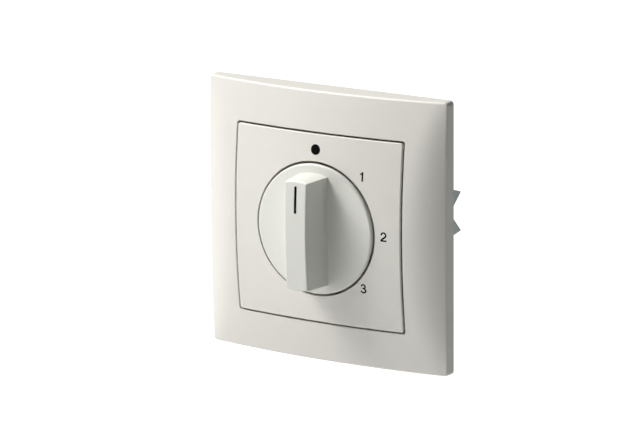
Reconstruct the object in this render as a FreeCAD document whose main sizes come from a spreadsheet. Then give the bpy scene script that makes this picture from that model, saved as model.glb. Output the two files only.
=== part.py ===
import FreeCAD, Part
import math
import os
import Sketcher
from FreeCAD import Placement, Rotation, Vector
from types import SimpleNamespace

# Flush mounted rotary switch for a fan: off and three speeds, 45 degrees apart.
# Frame: +X to the right, +Y into the wall, +Z up. The origin is on the knob's axis in the wall plane.
# A height is a distance in front of the wall (towards -Y), a depth is a distance behind it.

# Driving sizes in millimetres, angles in degrees: name, value, what it is
SIZES = (
    ("slot_pitch", 60.0, "distance of the box screws, the standard of the flush box"),
    ("slot_margin", 5.5, "from a box screw's centre to the support plate's edge"),
    ("support_room", 3.0, "room between the support plate and the frame's wall"),
    ("frame_corner_radius", 1.2, "upright corner of the cover frame"),
    ("frame_draft", 2.5, "draft of the frame's outer walls"),
    ("frame_wall", 2.0, "wall of the cover frame"),
    ("dome_radius", 230.0, "radius of the shared domed front"),
    ("corner_height", 3.35, "height of the dome over the frame's corners"),
    ("rim_rise", 0.55, "how far the left and right rims rise above that at mid height"),
    ("rim_fall", 0.12, "how far those rims fall below the dome at the corners"),
    ("roll_width_middle", 11.7, "width of the rolled side bands at mid height"),
    ("roll_width_corner", 4.5, "width of the rolled side bands at the corners"),
    ("rim_round", 0.7, "rounding of the frame's front edge"),
    ("window_side", 57.0, "side of the square window in the frame"),
    ("window_corner_radius", 0.9, "corner of the window"),
    ("window_wall", 2.4, "wall round the window behind the front"),
    ("window_round", 0.2, "rounding of the window's front edge"),
    ("ledge_width", 2.7, "ledge behind the window that the centre plate clamps"),
    ("panel_depth", 7.6, "from the dome's crown down to the seat of the centre plate"),
    ("screw_head_room", 3.6, "radius left free round each box screw head"),
    ("screw_head_height", 3.4, "height left free above each box screw head"),
    ("plate_gap", 0.55, "gap round the centre plate"),
    ("plate_proud", 0.2, "how far the centre plate stands proud of the frame"),
    ("plate_wall", 1.8, "wall of the centre plate"),
    ("plate_corner_radius", 0.7, "corner of the centre plate"),
    ("plate_round", 0.3, "rounding of the centre plate's front edge"),
    ("plate_lip", 0.6, "edge of the centre plate before its walls step back"),
    ("shadow_step", 0.9, "how far the walls behind the front edges stand back"),
    ("well_radius", 20.0, "round well for the knob's disc"),
    ("well_wall", 1.6, "wall of the well"),
    ("well_floor", 1.4, "floor of the well, clamped by the nut"),
    ("well_round", 0.15, "rounding of the well's front edge"),
    ("disc_gap", 0.65, "gap round the knob's disc"),
    ("disc_proud", 0.6, "how far the disc stands proud of the centre plate"),
    ("disc_round", 0.7, "rounding of the disc's edge"),
    ("disc_lip", 0.75, "edge of the disc before its skirt steps back"),
    ("disc_thickness", 2.4, "disc at its middle"),
    ("disc_skirt", 1.5, "wall of the disc's skirt"),
    ("disc_skirt_drop", 1.6, "how far the skirt reaches below the disc's underside"),
    ("handle_foot_drop", 1.0, "how far below the disc's crown the handle's foot is measured"),
    ("handle_foot_width", 9.6, "width of the handle at its foot"),
    ("handle_foot_length", 32.2, "length of the handle's side at its foot"),
    ("handle_rise", 9.6, "how far the handle's middle stands above the disc's crown"),
    ("handle_top_width", 7.2, "width of the handle at its front"),
    ("handle_top_length", 31.6, "length of the handle's side at its front"),
    ("handle_end_radius", 16.0, "radius of the handle's ends in plan"),
    ("handle_crown_radius", 200.0, "radius of the handle's bowed front"),
    ("handle_round", 0.45, "rounding of the handle's front edges"),
    ("handle_core_width", 3.6, "width of the hollow in each half of the handle"),
    ("handle_core_start", 5.2, "where the hollow starts beside the hub"),
    ("handle_core_end", 13.8, "where the hollow ends"),
    ("handle_front_wall", 2.0, "wall of the handle's front"),
    ("spindle_radius", 3.0, "turned spindle"),
    ("spindle_cover", 5.2, "knob material in front of the spindle's bore"),
    ("spindle_flat", 1.5, "distance of the spindle's flat from its axis"),
    ("spindle_flat_start", 0.2, "where the flat begins above the disc's underside"),
    ("journal_radius", 2.0, "rear journal of the spindle"),
    ("journal_length", 5.4, "length of the rear journal"),
    ("end_chamfer", 0.4, "chamfer at the ends of turned pieces"),
    ("running_gap", 0.04, "radial clearance of a running fit"),
    ("assembly_gap", 0.02, "radial clearance of pieces that are pushed together"),
    ("knob_bore_room", 0.3, "room above the spindle in the knob's bore"),
    ("knob_spring_thickness", 0.5, "leaf between the spindle's flat and the knob's bore"),
    ("knob_spring_width", 3.6, "width of that leaf"),
    ("bush_thread_radius", 5.0, "threaded end of the bush"),
    ("bush_collar_radius", 7.0, "collar that carries the centre plate"),
    ("bush_spigot_radius", 5.5, "spigot in the support plate"),
    ("bush_rivet_radius", 6.3, "rivetted rim behind the support plate"),
    ("bush_rivet_depth", 0.9, "depth of that rim"),
    ("bush_end", 0.6, "thread that shows past the nut"),
    ("nut_flats", 14.0, "plate nut across its flats"),
    ("nut_thickness", 2.0, "plate nut"),
    ("washer_radius", 7.6, "lock washer"),
    ("washer_thickness", 0.6, "lock washer"),
    ("washer_notch_width", 1.5, "gap between two teeth of the lock washer"),
    ("washer_notch_depth", 1.1, "length of those teeth"),
    ("thread_gap", 0.05, "radial clearance at a thread"),
    ("support_thickness", 1.2, "sheet of the support plate"),
    ("support_corner_cut", 9.0, "cut at each corner of the support plate"),
    ("slot_width", 4.2, "width of the slots for the box screws"),
    ("slot_length", 7.6, "length of the slots for the box screws"),
    ("base_radius", 21.5, "moulded switch base"),
    ("base_flat", 18.5, "distance of the base's side flats from the axis"),
    ("base_depth", 24.0, "depth of the switch base"),
    ("base_round", 0.8, "rounding of the base's rear edge"),
    ("base_wall", 6.5, "wall round the switching chamber"),
    ("chamber_floor", 2.0, "floor between the chamber and the terminals"),
    ("cover_ledge", 1.4, "ledge under the disc that closes the chamber"),
    ("cover_thickness", 2.0, "disc that closes the chamber"),
    ("cover_bore_radius", 7.2, "hole of that disc"),
    ("cover_gap", 0.05, "radial gap round that disc"),
    ("base_screw_radius", 1.25, "screws that hold the base"),
    ("base_screw_edge", 2.5, "distance of those screws from the base's edge"),
    ("base_screw_angle", 22.5, "their angle from the upright"),
    ("base_screw_depth", 9.5, "depth that they reach"),
    ("base_screw_head_radius", 2.3, "their heads"),
    ("base_screw_head", 1.2, "thickness of their heads"),
    ("rotor_depth", 3.0, "front face of the cam rotor"),
    ("star_room", 6.0, "from the star wheel to the chamber's wall"),
    ("star_thickness", 3.6, "star wheel of the rotor"),
    ("star_notch_radius", 2.2, "round notch of the star wheel"),
    ("star_notch_rise", 0.6, "centre of each notch beyond the star wheel's edge"),
    ("drum_radius", 6.5, "drum of the rotor"),
    ("rotor_room", 2.0, "from the rotor to the chamber's floor"),
    ("lobe_depth", 8.0, "front of the contact lobe"),
    ("lobe_thickness", 3.4, "contact lobe"),
    ("lobe_gap", 0.1, "from the lobe's tip to the leaves"),
    ("lobe_width", 4.4, "width of the contact lobe"),
    ("lobe_tip_radius", 2.6, "rounding of the lobe's tip"),
    ("step_angle", 45.0, "turn between two switch positions"),
    ("detent_room", 4.0, "from the detent leaf to the chamber's wall"),
    ("detent_thickness", 0.4, "detent leaf"),
    ("detent_end_gap", 0.15, "gap between the leaf's ends and the chamber's wall"),
    ("detent_width", 2.8, "width of the detent leaf"),
    ("detent_nose_width", 3.6, "nose in the star wheel"),
    ("detent_nose_radius", 1.9, "round end of the nose"),
    ("leaf_room", 3.0, "from a contact leaf to the chamber's wall"),
    ("leaf_thickness", 0.4, "contact leaf"),
    ("leaf_width", 4.4, "width of a contact leaf"),
    ("leaf_tip_depth", 4.0, "free end of a contact leaf"),
    ("leaf_foot_length", 2.6, "foot of a contact leaf"),
    ("leaf_nose_height", 1.5, "nose that the lobe pushes"),
    ("leaf_nose_length", 3.0, "length of the nose at the leaf"),
    ("leaf_nose_flat", 1.4, "length of the nose at its tip"),
    ("button_depth", 4.6, "front edge of the contact buttons"),
    ("button_length", 2.0, "contact buttons"),
    ("button_height", 0.7, "contact button of a leaf"),
    ("fixed_button_height", 0.3, "contact button of a fixed contact"),
    ("strip_thickness", 0.8, "brass strip of the fixed contacts and the ring"),
    ("strip_width", 5.0, "width of the brass strips"),
    ("strip_front_depth", 3.0, "front end of a fixed contact"),
    ("strip_gap", 0.05, "gap round a strip in its groove"),
    ("ring_room", 2.0, "from the common ring to the chamber's wall"),
    ("ring_width", 5.5, "common ring"),
    ("terminal_pocket_depth", 6.0, "depth of the terminal pockets"),
    ("terminal_edge", 0.9, "from a terminal tab's end to the base's edge"),
    ("terminal_pocket_inset", 1.0, "how far a terminal pocket reaches over the chamber"),
    ("terminal_pocket_width", 8.4, "width of a terminal pocket"),
    ("terminal_screw_edge", 3.6, "distance of the terminal screws from the base's edge"),
    ("terminal_screw_radius", 1.5, "terminal screws"),
    ("terminal_screw_room", 0.2, "room round a terminal screw in the base"),
    ("terminal_screw_reach", 2.4, "how far a terminal screw reaches below its pocket"),
    ("terminal_head_radius", 2.6, "heads of the terminal screws"),
    ("terminal_head", 1.8, "thickness of those heads"),
    ("clamp_thickness", 1.0, "wire clamp"),
    ("clamp_width", 6.4, "wire clamp"),
    ("clamp_inset", 0.2, "from a wire clamp to the strip's bend"),
    ("head_slot_width", 0.7, "screwdriver slot"),
    ("head_slot_depth", 0.8, "screwdriver slot"),
    ("head_round", 0.3, "rounding of the screw heads"),
    ("claw_screw_room", 2.7, "from a claw screw's axis to the base's flat"),
    ("claw_pivot_reach", 4.3, "from a claw screw to the claw's pivot"),
    ("claw_pivot_depth", 3.4, "depth of a claw's pivot"),
    ("claw_eye_radius", 2.1, "eye of a claw"),
    ("claw_pin_radius", 1.0, "pin of a claw"),
    ("claw_thickness", 1.2, "sheet of a claw"),
    ("claw_width", 13.5, "width of a claw"),
    ("claw_heel_reach", 1.8, "how far a claw's heel reaches past its screw"),
    ("claw_lean", 3.4, "how far a claw leans inwards down to its bend"),
    ("claw_overhang", 2.0, "from the base's rear to the bend where a claw turns outwards"),
    ("claw_bend_radius", 2.4, "rounding of that bend"),
    ("claw_spread", 1.1, "how far the teeth stand out past that bend"),
    ("claw_hook", 4.0, "depth from that bend to the teeth's tips"),
    ("claw_tip_pitch", 11.6, "distance of the two tips"),
    ("claw_tip_width", 0.3, "width of a tip"),
    ("claw_shoulder", 2.3, "depth over which a claw narrows to its tips"),
    ("claw_tooth", 3.3, "depth of the teeth"),
    ("claw_notch_root", 2.4, "width of the notch between the teeth at its root"),
    ("claw_side_gap", 0.8, "gap between a claw and its lugs"),
    ("claw_lug_width", 4.4, "lug of the support plate"),
    ("claw_lug_depth", 5.8, "how far a lug reaches back"),
    ("claw_lug_round", 1.6, "rounding of a lug's end"),
    ("claw_screw_radius", 1.5, "claw screw"),
    ("claw_screw_head_radius", 2.4, "head of a claw screw"),
    ("claw_screw_head", 1.4, "thickness of that head"),
    ("claw_collar_radius", 2.4, "drawn collar round a claw screw's thread"),
    ("claw_collar_depth", 1.8, "how far that collar reaches back"),
)

# Terminals, clockwise from the top: three speeds, then the supply
SPEED_TURNS = (-1, 0, 1)
SUPPLY_TURNS = 4
WASHER_TEETH = 12
# Small overlap that takes a cut past the face where it starts or ends
OVERCUT = 1.0


class Size:
    """A number together with the expression that binds it to the sheet."""

    def __init__(self, value, text):
        self.value = value
        self.text = text

    def joined(self, other, sign, value):
        return Size(value, "(%s %s %s)" % (self.text, sign, as_size(other).text))

    def __add__(self, other):
        return self.joined(other, "+", self.value + as_size(other).value)

    def __sub__(self, other):
        return self.joined(other, "-", self.value - as_size(other).value)

    def __mul__(self, other):
        return self.joined(other, "*", self.value * as_size(other).value)

    def __truediv__(self, other):
        return self.joined(other, "/", self.value / as_size(other).value)

    def __neg__(self):
        return Size(-self.value, "(0 - %s)" % self.text)


def as_size(number):
    if isinstance(number, Size):
        return number
    return Size(float(number), "%.6f" % number)


def root(size):
    return Size(math.sqrt(size.value), "sqrt(%s)" % size.text)


def sine(angle):
    return Size(math.sin(math.radians(angle.value)), "sin(%s)" % angle.text)


def cosine(angle):
    return Size(math.cos(math.radians(angle.value)), "cos(%s)" % angle.text)


ZERO = as_size(0)

doc = FreeCAD.newDocument("fan_speed_switch")


def fill_sheet():
    """Writes the driving sizes to the sheet and returns them by name."""
    sheet = doc.addObject("Spreadsheet::Sheet", "Sizes")
    found = {}
    for row, (name, value, note) in enumerate(SIZES, 1):
        sheet.set("A%d" % row, note)
        sheet.set("B%d" % row, str(value))
        sheet.setAlias("B%d" % row, name)
        found[name] = Size(value, "Sizes." + name)
    doc.recompute()
    return SimpleNamespace(**found)


def add_cover_sizes(dim):
    """Sizes of the cover that follow from others. Heights are counted from the wall."""
    dim.support_side = dim.slot_pitch + dim.slot_margin * 2
    dim.frame_side = dim.support_side + (dim.frame_wall + dim.support_room) * 2
    half_diagonal = dim.frame_side * dim.frame_side / 2
    sagitta = dim.dome_radius - root(dim.dome_radius * dim.dome_radius - half_diagonal)
    dim.dome_height = dim.corner_height + sagitta
    dim.seat_height = dim.dome_height - dim.panel_depth
    dim.plate_crown = dim.dome_height + dim.plate_proud
    dim.disc_radius = dim.well_radius - dim.disc_gap
    dim.disc_crown = dim.plate_crown + dim.disc_proud
    dim.disc_under_height = dim.disc_crown - dim.disc_thickness
    dim.disc_skirt_height = dim.disc_under_height - dim.disc_skirt_drop
    dim.handle_height = dim.disc_crown + dim.handle_rise
    dim.bore_height = dim.handle_height - dim.spindle_cover
    dim.spindle_height = dim.bore_height - dim.knob_bore_room
    dim.spindle_flat_height = dim.disc_under_height + dim.spindle_flat_start
    dim.washer_height = dim.seat_height + dim.well_floor
    dim.nut_height = dim.washer_height + dim.washer_thickness
    dim.bush_height = dim.nut_height + dim.nut_thickness + dim.bush_end


def add_insert_sizes(dim):
    """Sizes of the insert that follow from others. Depths are counted from the wall."""
    dim.terminal_depth = dim.base_depth - dim.terminal_pocket_depth
    dim.chamber_depth = dim.terminal_depth - dim.chamber_floor
    dim.rotor_end_depth = dim.chamber_depth - dim.rotor_room
    dim.chamber_radius = dim.base_radius - dim.base_wall
    dim.cover_radius = dim.chamber_radius + dim.cover_ledge
    dim.base_screw_circle = dim.base_radius - dim.base_screw_edge
    dim.star_radius = dim.chamber_radius - dim.star_room
    dim.detent_seat = dim.chamber_radius - dim.detent_room
    dim.leaf_seat = dim.chamber_radius - dim.leaf_room
    dim.lobe_reach = dim.leaf_seat - dim.lobe_gap
    dim.ring_outer_radius = dim.chamber_radius - dim.ring_room
    dim.ring_inner_radius = dim.ring_outer_radius - dim.ring_width
    dim.terminal_reach = dim.base_radius - dim.terminal_edge
    dim.terminal_pocket_start = dim.chamber_radius - dim.terminal_pocket_inset
    dim.terminal_screw_circle = dim.base_radius - dim.terminal_screw_edge
    dim.terminal_screw_depth = dim.terminal_depth - dim.terminal_screw_reach
    dim.claw_screw_across = dim.base_flat + dim.claw_screw_room
    dim.claw_pivot_across = dim.claw_screw_across + dim.claw_pivot_reach
    dim.claw_heel_across = dim.claw_screw_across - dim.claw_heel_reach
    dim.claw_bend_across = dim.claw_pivot_across + dim.claw_eye_radius - dim.claw_lean
    dim.claw_bend_depth = dim.base_depth + dim.claw_overhang
    dim.claw_tip_depth = dim.claw_bend_depth + dim.claw_hook


dim = fill_sheet()
add_cover_sizes(dim)
add_insert_sizes(dim)


# Sketches

def origin_plane(body, role):
    return next(item for item in body.Origin.OriginFeatures if item.Role == role)


def new_body(label):
    body = doc.addObject("PartDesign::Body", label)
    body.Label = label
    return body


def new_sketch(body, name, role, offset=ZERO, turn=ZERO):
    """Sketch on an origin plane, moved along the plane's normal and turned in it."""
    sketch = body.newObject("Sketcher::SketchObject", name)
    sketch.AttachmentSupport = [(origin_plane(body, role), "")]
    sketch.MapMode = "FlatFace"
    sketch.AttachmentOffset = Placement(Vector(0, 0, offset.value), Rotation(Vector(0, 0, 1), 1))
    sketch.setExpression("AttachmentOffset.Base.z", offset.text)
    sketch.setExpression("AttachmentOffset.Rotation.Angle", turn.text)
    return sketch


def front_sketch(body, name, height=ZERO, clock=ZERO):
    """Sketch in front view, at a height above the wall, turned clockwise."""
    return new_sketch(body, name, "XZ_Plane", height, -clock)


def bind(sketch, kind, places, size):
    index = sketch.addConstraint(Sketcher.Constraint(kind, *places, size.value))
    sketch.setExpression("Constraints[%d]" % index, size.text)


def pin_point(sketch, edge, end, across, up):
    bind(sketch, "DistanceX", (-1, 1, edge, end), across)
    bind(sketch, "DistanceY", (-1, 1, edge, end), up)


def add_arc(sketch, start, end, radius):
    """Arc from start to end, counter-clockwise for a positive radius."""
    chord = end - start
    reach = abs(radius)
    side = Vector(-chord.y, chord.x, 0).normalize() * math.copysign(1.0, radius)
    centre = (start + end) * 0.5 + side * math.sqrt(max(reach ** 2 - chord.Length ** 2 / 4, 0.0))
    first, last = (start, end) if radius > 0 else (end, start)
    angles = [math.atan2(point.y - centre.y, point.x - centre.x) for point in (first, last)]
    circle = Part.Circle(centre, Vector(0, 0, 1), reach)
    return sketch.addGeometry(Part.ArcOfCircle(circle, angles[0], angles[1]))


def outline(sketch, corners):
    """Closed outline. A corner is (across, up) or (across, up, radius of the arc to the next corner)."""
    points = [Vector(corner[0].value, corner[1].value, 0) for corner in corners]
    ends = []
    for place, corner in enumerate(corners):
        start = points[place]
        end = points[(place + 1) % len(points)]
        if len(corner) == 2:
            edge = sketch.addGeometry(Part.LineSegment(start, end))
            ends.append((edge, 1, 2))
        else:
            edge = add_arc(sketch, start, end, corner[2].value)
            ends.append((edge, 1, 2) if corner[2].value > 0 else (edge, 2, 1))
    for place, (edge, start, end) in enumerate(ends):
        following = ends[(place + 1) % len(ends)]
        sketch.addConstraint(Sketcher.Constraint("Coincident", edge, end, following[0], following[1]))
    for (edge, start, end), corner in zip(ends, corners):
        pin_point(sketch, edge, start, corner[0], corner[1])
        if len(corner) == 3:
            radius = corner[2] if corner[2].value > 0 else -corner[2]
            bind(sketch, "Radius", (edge,), radius)


def rectangle(sketch, left, right, low, high):
    outline(sketch, ((left, low), (right, low), (right, high), (left, high)))


def rounded_square(sketch, side, radius):
    half = side / 2
    flat = half - radius
    outline(sketch, (
        (-flat, -half), (flat, -half, radius), (half, -flat), (half, flat, radius),
        (flat, half), (-flat, half, radius), (-half, flat), (-half, -flat, radius),
    ))


def circle(sketch, radius, across=ZERO, up=ZERO):
    centre = Vector(across.value, up.value, 0)
    edge = sketch.addGeometry(Part.Circle(centre, Vector(0, 0, 1), radius.value))
    pin_point(sketch, edge, 3, across, up)
    bind(sketch, "Radius", (edge,), radius)


def upright_slot(sketch, width, length, up):
    """Slot with round ends, upright in the sketch, centred on the vertical axis."""
    radius = width / 2
    reach = (length - width) / 2
    half = radius.value
    top = up + reach
    low = up - reach
    upper = Part.Circle(Vector(0, top.value, 0), Vector(0, 0, 1), half)
    lower = Part.Circle(Vector(0, low.value, 0), Vector(0, 0, 1), half)
    edges = [
        sketch.addGeometry(Part.ArcOfCircle(upper, 0, math.pi)),
        sketch.addGeometry(Part.LineSegment(Vector(-half, top.value, 0), Vector(-half, low.value, 0))),
        sketch.addGeometry(Part.ArcOfCircle(lower, math.pi, 2 * math.pi)),
        sketch.addGeometry(Part.LineSegment(Vector(half, low.value, 0), Vector(half, top.value, 0))),
    ]
    for place, edge in enumerate(edges):
        following = edges[(place + 1) % len(edges)]
        sketch.addConstraint(Sketcher.Constraint("Tangent", edge, 2, following, 1))
    pin_point(sketch, edges[0], 3, ZERO, top)
    pin_point(sketch, edges[2], 3, ZERO, low)
    bind(sketch, "Radius", (edges[0],), radius)


# Features

def extrude(body, kind, name, sketch, length, back=False, both=False, taper=None):
    """Pad or pocket. A pad from a front view grows to the front, a pocket cuts to the rear."""
    feature = body.newObject("PartDesign::" + kind, name)
    feature.Profile = sketch
    feature.setExpression("Length", length.text)
    feature.Reversed = back
    feature.SideType = "Symmetric" if both else "One side"
    if taper is not None:
        feature.setExpression("TaperAngle", taper.text)
    doc.recompute()
    return feature


def pad(body, name, sketch, length, **options):
    return extrude(body, "Pad", name, sketch, length, **options)


def pocket(body, name, sketch, length, **options):
    """Pocket that has to take material away."""
    before = body.Shape.Volume
    feature = extrude(body, "Pocket", name, sketch, length, **options)
    if body.Shape.Volume > before - 1e-6:
        raise RuntimeError("pocket %s of %s cuts nothing" % (name, body.Label))
    return feature


def revolve(body, kind, name, sketch):
    feature = body.newObject("PartDesign::" + kind, name)
    feature.Profile = sketch
    feature.ReferenceAxis = (sketch, ["V_Axis"])
    feature.Angle = 360
    doc.recompute()
    return feature


def turned(body, name, corners):
    """Turned piece about the knob's axis from (radius, depth) corners."""
    sketch = new_sketch(body, name + "_section", "XY_Plane")
    outline(sketch, corners)
    return revolve(body, "Revolution", name, sketch)


def round_edges(body, name, radius, wanted):
    """Rounds the edges of the body that the test picks."""
    base = body.Tip
    chosen = [
        "Edge%d" % number for number, edge in enumerate(base.Shape.Edges, 1)
        if wanted(edge)
    ]
    if not chosen:
        raise RuntimeError("no edge to round for %s of %s" % (name, body.Label))
    feature = body.newObject("PartDesign::Fillet", name)
    feature.Base = (base, chosen)
    feature.setExpression("Radius", radius.text)
    doc.recompute()
    return feature


def all_round(body, name, feature, sketch, count):
    """Repeats a feature evenly about the origin of its sketch."""
    ring = body.newObject("PartDesign::PolarPattern", name)
    ring.Originals = [feature]
    ring.Axis = (sketch, ["N_Axis"])
    ring.Angle = 360
    ring.Occurrences = count
    body.Tip = ring
    doc.recompute()
    return ring


def cut(label, base, tool):
    """Base without tool, as a sub-part of its own."""
    piece = doc.addObject("Part::Cut", label)
    piece.Label = label
    piece.Base = base
    piece.Tool = tool
    doc.recompute()
    return piece


def group(label, pieces):
    """Like pieces that share one node."""
    gathered = doc.addObject("Part::Compound", label)
    gathered.Label = label
    gathered.Links = pieces
    doc.recompute()
    return gathered


def mirrored(label, source):
    """The same piece on the other side of the knob's axis."""
    piece = doc.addObject("Part::Mirroring", label)
    piece.Label = label
    piece.Source = source
    piece.Normal = Vector(1, 0, 0)
    doc.recompute()
    return piece


def place(piece, across, up=ZERO, clock=ZERO):
    """Turns a finished piece clockwise about the knob's axis and moves it across and up."""
    piece.Placement = Placement(Vector(0, 0, 0), Rotation(Vector(0, 1, 0), 1))
    piece.setExpression("Placement.Rotation.Angle", clock.text)
    piece.setExpression("Placement.Base.x", across.text)
    piece.setExpression("Placement.Base.z", up.text)
    doc.recompute()
    return piece


def clock_of(turns):
    return dim.step_angle * turns


# Domed fronts

def lowest_height(edge):
    return min(-vertex.Point.y for vertex in edge.Vertexes)


def lies_at(edge, depth):
    """True for an edge that lies in the plane at that depth."""
    return all(abs(vertex.Point.y - depth) < 0.01 for vertex in edge.Vertexes)


def reach_of(edge):
    """How far an edge's middle lies from the axis, across or up."""
    centre = edge.CenterOfMass
    return max(abs(centre.x), abs(centre.z))


def dome_groove(body, name, crown):
    """Takes away all that stands above the sphere with the given crown height."""
    reach = dim.frame_side
    centre = dim.dome_radius - crown
    edge_height = root(dim.dome_radius * dim.dome_radius - reach * reach) - centre
    top = crown + OVERCUT
    sketch = new_sketch(body, name + "_section", "XY_Plane")
    outline(sketch, (
        (ZERO, -crown, dim.dome_radius), (reach, -edge_height),
        (reach, -top), (ZERO, -top),
    ))
    return revolve(body, "Groove", name, sketch)


def front_section(body, name, station, drop):
    """Closed section above the frame's front at a distance up from the axis.

    The middle is the dome, and each side rolls off on a tangent arc down to the rim.
    """
    side = dim.frame_side / 2
    share = station * station / (side * side)
    start = side - dim.roll_width_middle + (dim.roll_width_middle - dim.roll_width_corner) * share
    rim = dim.corner_height + dim.rim_rise - (dim.rim_rise + dim.rim_fall) * share - drop
    radius = root(dim.dome_radius * dim.dome_radius - station * station)
    centre = dim.dome_radius - dim.dome_height + drop
    top = dim.dome_height + OVERCUT
    crease = root(radius * radius - start * start) - centre

    sketch = new_sketch(body, name, "XY_Plane", station)
    middle = Vector(0, centre.value, 0)
    right = Vector(start.value, -crease.value, 0)
    end = Vector(side.value, -rim.value, 0)
    inward = (middle - right).normalize()
    chord = end - right
    roll = chord.Length ** 2 / (2 * inward.dot(chord))
    left = Vector(-right.x, right.y, 0)
    dome = add_arc(sketch, left, right, radius.value)
    fall_right = add_arc(sketch, right, end, roll)
    fall_left = add_arc(sketch, Vector(-end.x, end.y, 0), left, roll)
    walls = [
        sketch.addGeometry(Part.LineSegment(end, Vector(end.x, -top.value, 0))),
        sketch.addGeometry(Part.LineSegment(Vector(end.x, -top.value, 0), Vector(-end.x, -top.value, 0))),
        sketch.addGeometry(Part.LineSegment(Vector(-end.x, -top.value, 0), Vector(-end.x, end.y, 0))),
    ]
    sketch.addConstraint(Sketcher.Constraint("Tangent", dome, 2, fall_right, 1))
    sketch.addConstraint(Sketcher.Constraint("Tangent", fall_left, 2, dome, 1))
    sketch.addConstraint(Sketcher.Constraint("Coincident", fall_right, 2, walls[0], 1))
    sketch.addConstraint(Sketcher.Constraint("Coincident", walls[0], 2, walls[1], 1))
    sketch.addConstraint(Sketcher.Constraint("Coincident", walls[1], 2, walls[2], 1))
    sketch.addConstraint(Sketcher.Constraint("Coincident", walls[2], 2, fall_left, 1))
    pin_point(sketch, dome, 3, ZERO, centre)
    bind(sketch, "Radius", (dome,), radius)
    bind(sketch, "DistanceX", (-1, 1, dome, 2), start)
    bind(sketch, "DistanceX", (-1, 1, dome, 1), -start)
    pin_point(sketch, walls[0], 1, side, -rim)
    pin_point(sketch, walls[1], 1, side, -top)
    pin_point(sketch, walls[2], 1, -side, -top)
    pin_point(sketch, fall_left, 1, -side, -rim)
    return sketch


def frame_front_cut(body, drop):
    """Cuts a block down to the frame's front, or to the same form a wall's thickness lower."""
    reach = dim.frame_side / 2
    quarter = reach / 2
    stations = (-reach, -quarter, ZERO, quarter, reach)
    sections = [
        front_section(body, "front_section_%d" % number, station, drop)
        for number, station in enumerate(stations, 1)
    ]
    doc.recompute()
    feature = body.newObject("PartDesign::SubtractiveLoft", "front_cut")
    feature.Profile = sections[0]
    feature.Sections = sections[1:]
    doc.recompute()
    return feature


# Cover

def make_cover_frame():
    block = new_body("cover_frame_block")
    sketch = front_sketch(block, "wall_outline")
    rounded_square(sketch, dim.frame_side, dim.frame_corner_radius)
    pad(block, "frame_pad", sketch, dim.dome_height, taper=-dim.frame_draft)
    frame_front_cut(block, ZERO)
    near_side = dim.frame_side.value / 2 - 1.5
    round_edges(
        block, "rim_rounding", dim.rim_round,
        lambda edge: lowest_height(edge) > 1.5 and reach_of(edge) > near_side,
    )

    sketch = front_sketch(block, "window_outline", dim.seat_height)
    rounded_square(sketch, dim.window_side, dim.window_corner_radius)
    pocket(block, "window", sketch, dim.dome_height, back=True)
    near_window = dim.window_side.value / 2 - 1.5
    floor = dim.seat_height.value + 1.0
    round_edges(
        block, "window_rounding", dim.window_round,
        lambda edge: lowest_height(edge) > floor and near_window < reach_of(edge) < near_window + 2.0,
    )
    sketch = front_sketch(block, "ledge_outline", dim.seat_height + OVERCUT)
    opening = dim.window_side - dim.ledge_width * 2
    rounded_square(sketch, opening, dim.window_corner_radius)
    pocket(block, "ledge_opening", sketch, dim.seat_height + OVERCUT * 2)
    sketch = front_sketch(block, "support_recess_outline", dim.support_thickness)
    inside = dim.frame_side - dim.frame_wall * 2
    rounded_square(sketch, inside, dim.frame_corner_radius)
    pocket(block, "support_recess", sketch, dim.support_thickness + OVERCUT)
    sketch = front_sketch(block, "screw_room_outline", dim.screw_head_height)
    circle(sketch, dim.screw_head_room, ZERO, dim.slot_pitch / 2)
    circle(sketch, dim.screw_head_room, ZERO, -dim.slot_pitch / 2)
    pocket(block, "screw_room", sketch, dim.screw_head_height + OVERCUT)

    hollow = new_body("cover_frame_hollow")
    sketch = front_sketch(hollow, "hollow_outline", ZERO)
    rounded_square(sketch, inside, dim.frame_corner_radius)
    rounded_square(sketch, dim.window_side + dim.window_wall * 2, dim.frame_corner_radius)
    pad(hollow, "hollow_pad", sketch, dim.dome_height)
    frame_front_cut(hollow, dim.frame_wall)
    return cut("cover_frame", block, hollow)


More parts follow.
